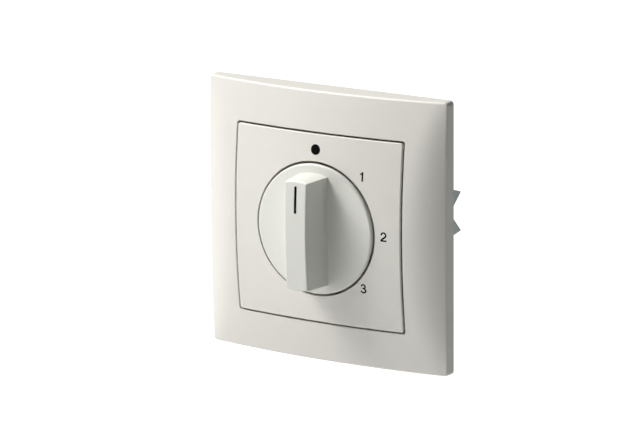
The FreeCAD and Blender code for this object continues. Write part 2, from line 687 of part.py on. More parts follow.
def make_centre_plate():
    crown = dim.plate_crown
    side = dim.window_side - dim.plate_gap * 2
    plate = new_body("centre_plate_block")
    sketch = front_sketch(plate, "plate_outline", dim.seat_height)
    rounded_square(sketch, side, dim.plate_corner_radius)
    pad(plate, "plate_pad", sketch, crown - dim.seat_height + OVERCUT / 2)
    dome_groove(plate, "plate_dome", crown)
    near_side = side.value / 2 - 1.0
    floor = dim.seat_height.value + 1.0
    round_edges(
        plate, "plate_rounding", dim.plate_round,
        lambda edge: lowest_height(edge) > floor and reach_of(edge) > near_side,
    )
    sketch = front_sketch(plate, "well_outline", dim.washer_height)
    circle(sketch, dim.well_radius)
    pocket(plate, "knob_well", sketch, crown, back=True)
    well_edge = dim.well_radius.value
    round_edges(
        plate, "well_rounding", dim.well_round,
        lambda edge: lowest_height(edge) > floor + 2.0 and is_ring(edge, well_edge),
    )
    sketch = front_sketch(plate, "bush_hole_outline", dim.washer_height + OVERCUT)
    circle(sketch, dim.bush_thread_radius + dim.thread_gap)
    pocket(plate, "bush_hole", sketch, dim.well_floor + OVERCUT * 2)

    hollow = new_body("centre_plate_hollow")
    sketch = front_sketch(hollow, "hollow_outline", dim.seat_height)
    inside = side - dim.shadow_step * 2
    rounded_square(sketch, inside - dim.plate_wall * 2, dim.plate_corner_radius)
    circle(sketch, dim.well_radius + dim.well_wall)
    ceiling = crown - dim.plate_wall
    pad(hollow, "hollow_pad", sketch, ceiling - dim.seat_height + OVERCUT / 2)
    dome_groove(hollow, "hollow_dome", ceiling)

    border = new_body("centre_plate_border")
    sketch = front_sketch(border, "border_outline", dim.seat_height - OVERCUT)
    rounded_square(sketch, side + OVERCUT * 2, dim.plate_corner_radius)
    rounded_square(sketch, inside, dim.plate_corner_radius)
    under_lip = crown - dim.plate_lip
    pad(border, "border_pad", sketch, under_lip - dim.seat_height + OVERCUT * 3 / 2)
    dome_groove(border, "border_dome", under_lip)
    return cut("centre_plate", cut("centre_plate_shell", plate, hollow), border)


def is_ring(edge, radius):
    """True for a full circle of the given radius."""
    return edge.isClosed() and abs(edge.Length - 2 * math.pi * radius) < 0.1


# Knob

def handle_outline(body, name, height):
    """Outline of the bar handle at a height, straight sides and curved ends."""
    foot_height = dim.disc_crown - dim.handle_foot_drop
    rise = (height - foot_height) / (dim.handle_height - foot_height)
    half_width = (dim.handle_foot_width + (dim.handle_top_width - dim.handle_foot_width) * rise) / 2
    half_length = (dim.handle_foot_length + (dim.handle_top_length - dim.handle_foot_length) * rise) / 2
    sketch = front_sketch(body, name, height)
    outline(sketch, (
        (half_width, -half_length), (half_width, half_length, dim.handle_end_radius),
        (-half_width, half_length), (-half_width, -half_length, dim.handle_end_radius),
    ))
    return sketch


def make_knob():
    knob = new_body("knob")
    crown = dim.disc_crown
    edge = dim.disc_radius
    skirt = edge - dim.shadow_step
    edge_height = crown - dim.dome_radius + root(dim.dome_radius * dim.dome_radius - edge * edge)
    turned(knob, "disc", (
        (ZERO, -dim.disc_skirt_height), (ZERO, -crown, dim.dome_radius),
        (edge, -edge_height), (edge, dim.disc_lip - edge_height),
        (skirt, dim.disc_lip - edge_height), (skirt, -dim.disc_skirt_height),
    ))
    edge_radius = edge.value
    near_top = edge_height.value - 0.5
    round_edges(
        knob, "disc_rounding", dim.disc_round,
        lambda ring: is_ring(ring, edge_radius) and lowest_height(ring) > near_top,
    )

    low = handle_outline(knob, "handle_foot", dim.disc_under_height)
    high = handle_outline(knob, "handle_top", dim.handle_height + OVERCUT)
    doc.recompute()
    bar = knob.newObject("PartDesign::AdditiveLoft", "handle")
    bar.Profile = low
    bar.Sections = [high]
    doc.recompute()

    reach = dim.handle_top_length / 2 + dim.handle_top_width / 2
    bow = dim.handle_crown_radius
    end_height = dim.handle_height - bow + root(bow * bow - reach * reach)
    top = dim.handle_height + OVERCUT * 2
    sketch = new_sketch(knob, "crown_section", "YZ_Plane")
    outline(sketch, (
        (-end_height, reach, bow), (-end_height, -reach), (-top, -reach), (-top, reach),
    ))
    pocket(knob, "handle_crown", sketch, dim.handle_foot_width * 2, both=True)
    near_front = end_height.value - 0.5
    round_edges(knob, "handle_rounding", dim.handle_round, lambda line: lowest_height(line) > near_front)

    sketch = front_sketch(knob, "under_outline", dim.disc_under_height)
    circle(sketch, skirt - dim.disc_skirt)
    pocket(knob, "underside", sketch, dim.disc_under_height - dim.disc_skirt_height + OVERCUT)
    half = dim.handle_core_width / 2
    sketch = front_sketch(knob, "core_outline", dim.handle_height - dim.handle_front_wall)
    rectangle(sketch, -half, half, dim.handle_core_start, dim.handle_core_end)
    rectangle(sketch, -half, half, -dim.handle_core_end, -dim.handle_core_start)
    pocket(knob, "handle_core", sketch, dim.handle_height - dim.handle_front_wall - dim.disc_skirt_height)
    sketch = front_sketch(knob, "bore_outline", dim.bore_height)
    flat_circle(
        sketch, dim.spindle_radius + dim.assembly_gap,
        dim.spindle_flat + dim.knob_spring_thickness + dim.assembly_gap * 2,
    )
    pocket(knob, "spindle_bore", sketch, dim.bore_height - dim.disc_skirt_height)
    return knob


def flat_circle(sketch, radius, flat):
    """Circle with a flat on its upper side."""
    half = root(radius * radius - flat * flat)
    outline(sketch, ((half, flat), (-half, flat, radius), (ZERO, -radius, radius)))


def make_knob_spring():
    spring = new_body("knob_spring")
    low = dim.spindle_flat + dim.assembly_gap
    sketch = front_sketch(spring, "leaf_outline", dim.spindle_flat_height)
    half = dim.knob_spring_width / 2
    rectangle(sketch, -half, half, low, low + dim.knob_spring_thickness)
    pad(spring, "leaf", sketch, dim.spindle_height - dim.spindle_flat_height)
    return spring


def make_plate_nut():
    nut = new_body("plate_nut")
    flat = dim.nut_flats / 2
    corner = flat / math.cos(math.radians(30))
    sketch = front_sketch(nut, "hexagon", dim.nut_height)
    outline(sketch, (
        (corner / 2, -flat), (corner, ZERO), (corner / 2, flat),
        (-(corner / 2), flat), (-corner, ZERO), (-(corner / 2), -flat),
    ))
    circle(sketch, dim.bush_thread_radius + dim.thread_gap)
    pad(nut, "nut", sketch, dim.nut_thickness)
    top = dim.nut_height + dim.nut_thickness
    past = corner + OVERCUT
    sketch = new_sketch(nut, "chamfer_section", "XY_Plane")
    outline(sketch, (
        (flat, -top), (past, -top), (past, (past - flat) * math.tan(math.radians(30)) - top),
    ))
    revolve(nut, "Groove", "chamfer", sketch)
    return nut


def make_lock_washer():
    washer = new_body("lock_washer")
    sketch = front_sketch(washer, "ring", dim.washer_height)
    circle(sketch, dim.washer_radius)
    circle(sketch, dim.bush_thread_radius + dim.thread_gap * 2)
    pad(washer, "washer", sketch, dim.washer_thickness)
    half = dim.washer_notch_width / 2
    sketch = front_sketch(washer, "notch_outline", dim.washer_height + dim.washer_thickness)
    rectangle(
        sketch, -half, half, dim.washer_radius - dim.washer_notch_depth, dim.washer_radius + OVERCUT,
    )
    notch = pocket(washer, "notch", sketch, dim.washer_thickness)
    all_round(washer, "notches", notch, sketch, WASHER_TEETH)
    return washer


# Insert

def make_support_plate():
    plate = new_body("support_plate")
    half = dim.support_side / 2
    flat = half - dim.support_corner_cut
    sketch = front_sketch(plate, "sheet_outline")
    outline(sketch, (
        (-flat, -half), (flat, -half), (half, -flat), (half, flat),
        (flat, half), (-flat, half), (-half, flat), (-half, -flat),
    ))
    circle(sketch, dim.bush_spigot_radius + dim.assembly_gap)
    upright_slot(sketch, dim.slot_width, dim.slot_length, dim.slot_pitch / 2)
    upright_slot(sketch, dim.slot_width, dim.slot_length, -dim.slot_pitch / 2)
    pad(plate, "sheet", sketch, dim.support_thickness)

    sketch = front_sketch(plate, "base_screw_holes", dim.support_thickness)
    across, up = base_screw_place()
    for right in (1, -1):
        for top in (1, -1):
            circle(sketch, dim.base_screw_radius + dim.thread_gap, across * right, up * top)
    pocket(plate, "base_screw_hole", sketch, dim.support_thickness)

    lug_half = dim.claw_lug_width / 2
    low = dim.claw_width / 2 + dim.claw_side_gap
    high = low + dim.support_thickness
    for side, name in ((1, "right"), (-1, "left")):
        pivot = dim.claw_pivot_across * side
        screw = dim.claw_screw_across * side
        sketch = front_sketch(plate, "collar_outline_" + name)
        circle(sketch, dim.claw_collar_radius, screw)
        pad(plate, "collar_" + name, sketch, dim.claw_collar_depth, back=True)
        sketch = front_sketch(plate, "thread_outline_" + name, dim.support_thickness)
        circle(sketch, dim.claw_screw_radius + dim.thread_gap, screw)
        pocket(plate, "thread_" + name, sketch, dim.support_thickness + dim.claw_collar_depth)
        sketch = front_sketch(plate, "claw_window_outline_" + name, dim.support_thickness)
        rectangle(sketch, pivot - lug_half, pivot + lug_half, -low, low)
        pocket(plate, "claw_window_" + name, sketch, dim.support_thickness)
        sketch = front_sketch(plate, "lug_outline_" + name)
        rectangle(sketch, pivot - lug_half, pivot + lug_half, low, high)
        rectangle(sketch, pivot - lug_half, pivot + lug_half, -high, -low)
        pad(plate, "lugs_" + name, sketch, dim.claw_lug_depth, back=True)
        sketch = new_sketch(plate, "pin_holes_" + name, "XY_Plane")
        circle(sketch, dim.claw_pin_radius + dim.assembly_gap, pivot, dim.claw_pivot_depth)
        pocket(plate, "pin_hole_" + name, sketch, high * 2 + OVERCUT, both=True)
    lug_end = dim.claw_lug_depth.value
    sheet = dim.support_thickness.value
    round_edges(
        plate, "lug_rounding", dim.claw_lug_round,
        lambda edge: lies_at(edge, lug_end) and abs(edge.Length - sheet) < 0.01,
    )
    return plate


def base_screw_place():
    """Across and up of the upper right base screw."""
    across = dim.base_screw_circle * sine(dim.base_screw_angle)
    return across, dim.base_screw_circle * cosine(dim.base_screw_angle)


def make_bearing_bush():
    bush = new_body("bearing_bush")
    bore = dim.spindle_radius + dim.running_gap
    turned(bush, "bush", (
        (bore, dim.bush_rivet_depth), (bore, -dim.bush_height),
        (dim.bush_thread_radius - dim.end_chamfer, -dim.bush_height),
        (dim.bush_thread_radius, dim.end_chamfer - dim.bush_height),
        (dim.bush_thread_radius, -dim.seat_height),
        (dim.bush_collar_radius, -dim.seat_height), (dim.bush_collar_radius, -dim.support_thickness),
        (dim.bush_spigot_radius, -dim.support_thickness), (dim.bush_spigot_radius, ZERO),
        (dim.bush_rivet_radius, ZERO), (dim.bush_rivet_radius, dim.bush_rivet_depth),
    ))
    return bush


def make_switch_base():
    base = new_body("switch_base")
    turned(base, "housing", (
        (dim.cover_radius, ZERO), (dim.cover_radius, dim.cover_thickness),
        (dim.chamber_radius, dim.cover_thickness), (dim.chamber_radius, dim.chamber_depth),
        (ZERO, dim.chamber_depth), (ZERO, dim.base_depth),
        (dim.base_radius - dim.base_round, dim.base_depth, -dim.base_round),
        (dim.base_radius, dim.base_depth - dim.base_round), (dim.base_radius, ZERO),
    ))
    sketch = front_sketch(base, "side_flats")
    past = dim.base_radius + OVERCUT
    rectangle(sketch, dim.base_flat, past, -past, past)
    rectangle(sketch, -past, -dim.base_flat, -past, past)
    pocket(base, "side_flat", sketch, dim.base_depth)
    sketch = front_sketch(base, "journal_outline", -dim.chamber_depth)
    circle(sketch, dim.journal_radius + dim.running_gap)
    pocket(base, "journal_bore", sketch, dim.journal_length - dim.rotor_room + OVERCUT)

    for turns in SPEED_TURNS + (SUPPLY_TURNS,):
        clock = clock_of(turns)
        name = "%d" % (turns + SUPPLY_TURNS)
        groove_depth = dim.chamber_depth - dim.strip_thickness
        if turns in SPEED_TURNS:
            groove_depth = dim.strip_front_depth
        half = dim.strip_width / 2 + dim.strip_gap
        sketch = front_sketch(base, "groove_outline_" + name, -groove_depth, clock)
        outer = dim.chamber_radius + dim.strip_thickness + dim.strip_gap
        rectangle(sketch, -half, half, dim.terminal_pocket_start, outer)
        pocket(base, "groove_" + name, sketch, dim.terminal_depth - groove_depth)
        half = dim.terminal_pocket_width / 2
        sketch = front_sketch(base, "terminal_outline_" + name, -dim.terminal_depth, clock)
        rectangle(sketch, -half, half, dim.terminal_pocket_start, dim.base_radius + OVERCUT)
        pocket(base, "terminal_" + name, sketch, dim.base_depth - dim.terminal_depth)
        sketch = front_sketch(base, "screw_outline_" + name, -dim.terminal_screw_depth, clock)
        circle(sketch, dim.terminal_screw_radius + dim.terminal_screw_room, ZERO, dim.terminal_screw_circle)
        pocket(base, "screw_" + name, sketch, dim.terminal_depth - dim.terminal_screw_depth)

    sketch = front_sketch(base, "base_screw_holes")
    across, up = base_screw_place()
    for right in (1, -1):
        for top in (1, -1):
            circle(sketch, dim.base_screw_radius + dim.thread_gap, across * right, up * top)
    pocket(base, "base_screw_hole", sketch, dim.base_screw_depth + OVERCUT)
    return base


def make_base_cover():
    cover = new_body("base_cover")
    sketch = front_sketch(cover, "ring")
    circle(sketch, dim.cover_radius - dim.cover_gap)
    circle(sketch, dim.cover_bore_radius)
    pad(cover, "disc", sketch, dim.cover_thickness, back=True)
    return cover


def make_screw(name, head_radius, head, shank_radius, seat, tip, rear=False):
    """Slotted screw on the knob's axis. Seat and tip are depths; a rear screw has its head behind."""
    screw = new_body(name)
    outside = seat + head if rear else seat - head
    turned(screw, "screw", (
        (ZERO, tip), (shank_radius, tip), (shank_radius, seat),
        (head_radius, seat), (head_radius, outside), (ZERO, outside),
    ))
    rim = head_radius.value
    end = outside.value
    round_edges(
        screw, "head_rounding", dim.head_round,
        lambda ring: is_ring(ring, rim) and lies_at(ring, end),
    )
    half = dim.head_slot_width / 2
    past = head_radius + OVERCUT
    sketch = front_sketch(screw, "slot_outline", -outside)
    rectangle(sketch, -past, past, -half, half)
    pocket(screw, "slot", sketch, dim.head_slot_depth, back=rear)
    return screw


def make_base_screws():
    across, up = base_screw_place()
    screws = []
    for right in (1, -1):
        for top in (1, -1):
            screw = make_screw(
                "base_screw_%d" % (len(screws) + 1), dim.base_screw_head_radius, dim.base_screw_head,
                dim.base_screw_radius, -dim.support_thickness, dim.base_screw_depth,
            )
            screws.append(place(screw, across * right, up * top))
    return group("base_screws", screws)


def make_spindle():
    spindle = new_body("spindle")
    end = dim.rotor_end_depth + dim.journal_length
    chamfer = dim.end_chamfer
    turned(spindle, "shaft", (
        (ZERO, -dim.spindle_height), (dim.spindle_radius - chamfer, -dim.spindle_height),
        (dim.spindle_radius, chamfer - dim.spindle_height),
        (dim.spindle_radius, dim.rotor_end_depth), (dim.journal_radius, dim.rotor_end_depth),
        (dim.journal_radius, end - chamfer), (dim.journal_radius - chamfer, end), (ZERO, end),
    ))
    sketch = front_sketch(spindle, "flat_outline", dim.spindle_height)
    past = dim.spindle_radius + OVERCUT
    rectangle(sketch, -past, past, dim.spindle_flat, past)
    pocket(spindle, "flat", sketch, dim.spindle_height - dim.spindle_flat_height)
    return spindle


def make_cam_rotor():
    rotor = new_body("cam_rotor")
    sketch = front_sketch(rotor, "star_outline", -dim.rotor_depth)
    circle(sketch, dim.star_radius)
    pad(rotor, "star", sketch, dim.star_thickness, back=True)
    sketch = front_sketch(rotor, "notch_outline", -dim.rotor_depth)
    circle(sketch, dim.star_notch_radius, ZERO, -(dim.star_radius + dim.star_notch_rise))
    notch = pocket(rotor, "notch", sketch, dim.star_thickness)
    all_round(rotor, "notches", notch, sketch, round(360 / dim.step_angle.value))
    drum_front = dim.rotor_depth + dim.star_thickness
    sketch = front_sketch(rotor, "drum_outline", -drum_front)
    circle(sketch, dim.drum_radius)
    pad(rotor, "drum", sketch, dim.rotor_end_depth - drum_front, back=True)
    half = dim.lobe_width / 2
    tip_radius = dim.lobe_tip_radius
    tip = dim.lobe_reach - tip_radius + root(tip_radius * tip_radius - half * half)
    sketch = front_sketch(rotor, "lobe_outline", -dim.lobe_depth)
    outline(sketch, ((ZERO, half), (-tip, half, tip_radius), (-tip, -half), (ZERO, -half)))
    pad(rotor, "lobe", sketch, dim.lobe_thickness, back=True)
    sketch = front_sketch(rotor, "bore_outline", -dim.rotor_depth)
    circle(sketch, dim.spindle_radius + dim.assembly_gap)
    pocket(rotor, "bore", sketch, dim.rotor_end_depth - dim.rotor_depth)
    return rotor


def make_detent_spring():
    spring = new_body("detent_spring")
    start = dim.rotor_depth + (dim.star_thickness - dim.detent_width) / 2
    half = dim.detent_nose_width / 2
    outer = dim.detent_seat + dim.detent_thickness
    end = root(dim.chamber_radius * dim.chamber_radius - outer * outer) - dim.detent_end_gap
    sketch = front_sketch(spring, "leaf_outline", -start)
    outline(sketch, (
        (-end, -outer), (end, -outer), (end, -dim.detent_seat), (half, -dim.detent_seat),
        (half, -dim.star_radius, dim.detent_nose_radius), (-half, -dim.star_radius),
        (-half, -dim.detent_seat), (-end, -dim.detent_seat),
    ))
    pad(spring, "leaf", sketch, dim.detent_width, back=True)
    return spring


def make_contact_spring(turns, label):
    spring = new_body(label)
    foot = dim.chamber_depth - dim.strip_thickness
    rise = foot - dim.leaf_thickness
    inner = dim.leaf_seat
    outer = inner + dim.leaf_thickness
    button_end = dim.button_depth + dim.button_length
    middle = dim.lobe_depth + dim.lobe_thickness / 2
    wide = dim.leaf_nose_length / 2
    narrow = dim.leaf_nose_flat / 2
    start = inner - dim.leaf_foot_length
    nose = inner - dim.leaf_nose_height
    sketch = new_sketch(spring, "leaf_section", "YZ_Plane")
    outline(sketch, (
        (foot, start), (foot, outer), (button_end, outer),
        (button_end, outer + dim.button_height), (dim.button_depth, outer + dim.button_height),
        (dim.button_depth, outer), (dim.leaf_tip_depth, outer), (dim.leaf_tip_depth, inner),
        (middle - wide, inner), (middle - narrow, nose),
        (middle + narrow, nose), (middle + wide, inner),
        (rise, inner), (rise, start),
    ))
    pad(spring, "leaf", sketch, dim.leaf_width, both=True)
    return place(spring, ZERO, clock=clock_of(turns))


def terminal_hole(body):
    """Hole for the terminal screw in a tab at the top."""
    sketch = front_sketch(body, "screw_outline", -dim.terminal_depth)
    circle(sketch, dim.terminal_screw_radius + dim.thread_gap, ZERO, dim.terminal_screw_circle)
    return pocket(body, "screw_hole", sketch, dim.strip_thickness)


def make_fixed_contact(turns, label):
    contact = new_body(label)
    inner = dim.chamber_radius
    outer = inner + dim.strip_thickness
    face = inner - dim.fixed_button_height
    button_end = dim.button_depth + dim.button_length
    tab = dim.terminal_depth + dim.strip_thickness
    sketch = new_sketch(contact, "strip_section", "YZ_Plane")
    outline(sketch, (
        (dim.strip_front_depth, outer), (dim.strip_front_depth, inner), (dim.button_depth, inner),
        (dim.button_depth, face), (button_end, face), (button_end, inner), (tab, inner),
        (tab, dim.terminal_reach), (dim.terminal_depth, dim.terminal_reach), (dim.terminal_depth, outer),
    ))
    pad(contact, "strip", sketch, dim.strip_width, both=True)
    terminal_hole(contact)
    return place(contact, ZERO, clock=clock_of(turns))


def make_common_ring():
    ring = new_body("common_ring")
    front = dim.chamber_depth - dim.strip_thickness
    sketch = front_sketch(ring, "ring_outline", -front)
    circle(sketch, dim.ring_outer_radius)
    circle(sketch, dim.ring_inner_radius)
    pad(ring, "ring", sketch, dim.strip_thickness, back=True)
    inner = dim.chamber_radius
    outer = inner + dim.strip_thickness
    root_radius = (dim.ring_inner_radius + dim.ring_outer_radius) / 2
    tab = dim.terminal_depth + dim.strip_thickness
    sketch = new_sketch(ring, "tail_section", "YZ_Plane")
    outline(sketch, (
        (front, root_radius), (dim.chamber_depth, root_radius), (dim.chamber_depth, inner), (tab, inner),
        (tab, dim.terminal_reach), (dim.terminal_depth, dim.terminal_reach),
        (dim.terminal_depth, outer), (front, outer),
    ))
    pad(ring, "tail", sketch, dim.strip_width, both=True)
    terminal_hole(ring)
    return place(ring, ZERO, clock=clock_of(SUPPLY_TURNS))


def make_wire_clamps():
    clamps = []
    for number, turns in enumerate(SPEED_TURNS + (SUPPLY_TURNS,), 1):
        clamp = new_body("wire_clamp_%d" % number)
        half = dim.clamp_width / 2
        seat = dim.terminal_depth + dim.strip_thickness
        sketch = front_sketch(clamp, "clamp_outline", -seat)
        rectangle(sketch, -half, half, dim.chamber_radius + dim.clamp_inset, dim.terminal_reach)
        circle(sketch, dim.terminal_screw_radius + dim.thread_gap, ZERO, dim.terminal_screw_circle)
        pad(clamp, "clamp", sketch, dim.clamp_thickness, back=True)
        clamps.append(place(clamp, ZERO, clock=clock_of(turns)))
    return group("wire_clamps", clamps)


def make_terminal_screws():
    seat = dim.terminal_depth + dim.strip_thickness + dim.clamp_thickness
    screws = []
    for number, turns in enumerate(SPEED_TURNS + (SUPPLY_TURNS,), 1):
        screw = make_screw(
            "terminal_screw_%d" % number, dim.terminal_head_radius, dim.terminal_head,
            dim.terminal_screw_radius, seat, dim.terminal_screw_depth, rear=True,
        )
        clock = clock_of(turns)
        circle_radius = dim.terminal_screw_circle
        screws.append(place(screw, circle_radius * sine(clock), circle_radius * cosine(clock), clock))
    return group("terminal_screws", screws)


# Spreader claws

def make_claw_right():
    claw = new_body("claw_right")
    across = dim.claw_pivot_across
    depth = dim.claw_pivot_depth
    eye = dim.claw_eye_radius
    sheet = dim.claw_thickness
    sketch = new_sketch(claw, "eye_outline", "XY_Plane")
    circle(sketch, eye, across, depth)
    pad(claw, "eye", sketch, dim.claw_width, both=True)
    sketch = new_sketch(claw, "heel_outline", "XY_Plane")
    rectangle(sketch, dim.claw_heel_across, across, depth + eye - sheet, depth + eye)
    pad(claw, "heel", sketch, dim.claw_width, both=True)
    outer = across + eye
    bend = dim.claw_bend_across
    tip = bend + dim.claw_spread
    sketch = new_sketch(claw, "arm_outline", "XY_Plane")
    outline(sketch, (
        (outer - sheet, depth), (outer, depth), (bend, dim.claw_bend_depth), (tip, dim.claw_tip_depth),
        (tip - sheet, dim.claw_tip_depth - sheet / 2), (bend - sheet, dim.claw_bend_depth),
    ))
    pad(claw, "arm", sketch, dim.claw_width, both=True)
    bend_depth = dim.claw_bend_depth.value
    round_edges(claw, "bend_rounding", dim.claw_bend_radius, lambda edge: lies_at(edge, bend_depth))
    sketch = new_sketch(claw, "pin_outline", "XY_Plane")
    circle(sketch, dim.claw_pin_radius + dim.running_gap, across, depth)
    pocket(claw, "pin_hole", sketch, dim.claw_width + OVERCUT, both=True)
    sketch = new_sketch(claw, "teeth_outline", "YZ_Plane", bend)
    tooth_outlines(sketch)
    pocket(claw, "teeth", sketch, bend, both=True)
    return claw


def tooth_outlines(sketch):
    """What is cut away for the two teeth: the notch between them and both shoulders."""
    end = dim.claw_tip_depth
    past = end + OVERCUT
    base = end - dim.claw_tooth
    root_half = dim.claw_notch_root / 2
    inner = (dim.claw_tip_pitch - dim.claw_tip_width) / 2
    outline(sketch, (
        (base, -root_half), (end, -inner), (past, -inner), (past, inner), (end, inner), (base, root_half),
    ))
    start = end - dim.claw_shoulder
    half = dim.claw_width / 2
    outer = (dim.claw_tip_pitch + dim.claw_tip_width) / 2
    for side in (1, -1):
        outline(sketch, (
            (start, half * side), (end, outer * side), (past, outer * side),
            (past, (half + OVERCUT) * side), (start, (half + OVERCUT) * side),
        ))


def make_claw_pins():
    length = dim.claw_width + dim.claw_side_gap * 2 + dim.support_thickness * 2
    pins = []
    for side in (1, -1):
        pin = doc.addObject("Part::Cylinder", "claw_pin_%d" % (len(pins) + 1))
        pin.setExpression("Radius", dim.claw_pin_radius.text)
        pin.setExpression("Height", length.text)
        pin.setExpression("Placement.Base.x", (dim.claw_pivot_across * side).text)
        pin.setExpression("Placement.Base.y", dim.claw_pivot_depth.text)
        pin.setExpression("Placement.Base.z", (-length / 2).text)
        pins.append(pin)
    doc.recompute()
    return group("claw_pins", pins)


def make_claw_screw(label, side):
    heel = dim.claw_pivot_depth + dim.claw_eye_radius - dim.claw_thickness
    screw = make_screw(
        label, dim.claw_screw_head_radius, dim.claw_screw_head, dim.claw_screw_radius,
        -dim.support_thickness, heel - dim.thread_gap,
    )
    return place(screw, dim.claw_screw_across * side)


def make_parts():
    claw_right = make_claw_right()
    parts = [
        make_cover_frame(), make_centre_plate(), make_knob(), make_knob_spring(),
        make_plate_nut(), make_lock_washer(), make_support_plate(), make_bearing_bush(),
        make_switch_base(), make_base_cover(), make_base_screws(), make_spindle(),
        make_cam_rotor(), make_detent_spring(), make_common_ring(), make_wire_clamps(),
        make_terminal_screws(), claw_right, mirrored("claw_left", claw_right), make_claw_pins(),
        make_claw_screw("claw_screw_right", 1), make_claw_screw("claw_screw_left", -1),
    ]
    for number, turns in enumerate(SPEED_TURNS, 1):
        parts.append(make_contact_spring(turns, "contact_spring_%d" % number))
        parts.append(make_fixed_contact(turns, "fixed_contact_%d" % number))
    return parts


def check_document(parts):
    """Stops before anything is written if a feature failed or a shape is bad."""
    for item in doc.Objects:
        if {"Invalid", "Error"} & set(item.State):
            raise RuntimeError("%s failed: %s" % (item.Name, item.State))
    for piece in parts:
        shape = piece.Shape
        if shape.isNull() or not shape.isValid() or shape.Volume <= 0:
            raise RuntimeError("%s has no valid shape" % piece.Label)


def write_parts(parts):
    os.makedirs("parts", exist_ok=True)
    for piece in parts:
        piece.Shape.exportStep("parts/%s.step" % piece.Label)


sub_parts = make_parts()
doc.recompute()
check_document(sub_parts)
write_parts(sub_parts)
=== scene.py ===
"""Looks of a flush mounted rotary fan speed switch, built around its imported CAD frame."""

import math

import bmesh
import bpy
from bpy.props import FloatProperty, FloatVectorProperty, PointerProperty
from mathutils import Matrix, Vector


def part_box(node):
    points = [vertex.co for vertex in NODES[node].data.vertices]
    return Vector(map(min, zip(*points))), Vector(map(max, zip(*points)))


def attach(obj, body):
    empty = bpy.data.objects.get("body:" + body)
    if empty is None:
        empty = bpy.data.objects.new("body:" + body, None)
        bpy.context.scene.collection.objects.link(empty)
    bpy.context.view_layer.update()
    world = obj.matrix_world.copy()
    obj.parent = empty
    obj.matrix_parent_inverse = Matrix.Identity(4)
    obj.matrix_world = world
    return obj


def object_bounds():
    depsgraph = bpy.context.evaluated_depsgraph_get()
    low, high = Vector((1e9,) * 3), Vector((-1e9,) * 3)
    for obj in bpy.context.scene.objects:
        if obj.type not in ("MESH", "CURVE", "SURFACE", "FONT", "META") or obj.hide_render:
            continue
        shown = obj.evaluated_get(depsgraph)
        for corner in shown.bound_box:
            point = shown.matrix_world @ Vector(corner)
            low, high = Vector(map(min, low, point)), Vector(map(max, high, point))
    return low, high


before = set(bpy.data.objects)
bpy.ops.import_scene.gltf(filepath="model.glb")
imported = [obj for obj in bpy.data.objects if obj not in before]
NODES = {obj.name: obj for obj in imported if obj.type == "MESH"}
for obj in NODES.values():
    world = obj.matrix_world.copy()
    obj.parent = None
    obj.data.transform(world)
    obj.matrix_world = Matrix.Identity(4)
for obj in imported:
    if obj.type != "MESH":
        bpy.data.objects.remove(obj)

bl_info = {
    "name": "Fan Speed Switch",
    "version": (1, 0, 0),
    "blender": (4, 5, 0),
    "location": "View3D > Sidebar > Fan Switch",
    "description": "Prints the dial, finishes the CAD parts and sets the studio of a rotary fan switch",
    "category": "Object",
}

CAD_BOX = [list(corner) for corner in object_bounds()]
MM = 0.001

# Nodes by finish
COVER_NODES = ("cover_frame", "centre_plate")
KNOB_NODES = ("knob",)
STEEL_NODES = (
    "support_plate", "claw_left", "claw_right", "claw_pins", "lock_washer", "knob_spring",
    "detent_spring", "wire_clamps", "terminal_screws", "base_screws", "claw_screw_left", "claw_screw_right",
)
BASE_NODES = ("switch_base", "base_cover", "cam_rotor")
TURNED_NODES = ("bearing_bush", "plate_nut", "spindle")
STRIP_NODES = ("fixed_contact_1", "fixed_contact_2", "fixed_contact_3", "common_ring")
LEAF_NODES = ("contact_spring_1", "contact_spring_2", "contact_spring_3")
INK_FINISH = "pad_printed_black_ink"

# Printed speeds and their places on the dial in millimetres, across and up from the knob's axis
SPEED_MARKS = (("1", 15.5, 17.25), ("2", 22.8, 0.4), ("3", 16.0, -15.85))

# Fineness of the meshes: sides of a round outline, rows of half the pointer's straight part and of one round
# end, turn from row to row of that end in degrees, and the distance that merges points in metres
ROUND_SIDES = 48
POINTER_ROWS = 6
POINTER_END_TURN = 14.5
MERGE_DISTANCE = 1e-7
# Distance in front of the wall from which a print is dropped on its carrier, in metres
PRINT_START = 1.0

# Divides the scale of a wave texture, whose bands then lie about 1.9 times as far apart as given
WAVE_DIVISOR = 6

# Soft boxes that face the switch: distance and side in metres, then for each one
# azimuth and elevation in degrees, power in watts
LIGHT_DISTANCE = 1.5
LIGHT_SIDE = 0.6
LIGHTS = (
    ("key", -62.0, 52.0, 24.0),
    ("front_fill", -45.0, 35.0, 3.6),
    ("top_rim", -120.0, 65.0, 4.0),
    ("low_fill", -35.0, -5.0, 2.6),
)

# Flat lights above the floor, seen from the camera behind the switch and to its right: sides in metres and
# spread in degrees, then for each one place in metres, turn in degrees, power in watts, colour
WASH_WIDTH = 0.8
WASH_LENGTH = 1.7
WASH_SPREAD = 120.0
FLOOR_WASHES = (
    ("back_wash", (-0.85, 1.35, 0.3), 32.0, 6.0, "FFFFFF"),
    ("side_wash", (0.62, 1.0, 0.3), -32.0, 1.6, "DCFFFA"),
)

# Glow of the studio's walls: sines of the slopes up to which it is full and at which it has faded, strength
GLOW_FULL = 0.08
GLOW_END = 0.16
GLOW_STRENGTH = 0.25

# Floor, and the paper sweep just above it, in metres
FLOOR_REACH = 8.0
SWEEP_FLAT = 2.2
SWEEP_COVE = 0.8
SWEEP_HEIGHT = 2.0
SWEEP_LIFT = 0.005
SWEEP_SIDES = 96
# Cosines of the angles from the photograph's line of sight at which the sweep is pale grey and white
SWEEP_GREY = 0.86
SWEEP_WHITE = 0.975
SWEEP_STRENGTH = 1.25

# Camera's sensor in millimetres and its nearest sight in metres
SENSOR_WIDTH = 36.0
NEAREST_SIGHT = 0.05


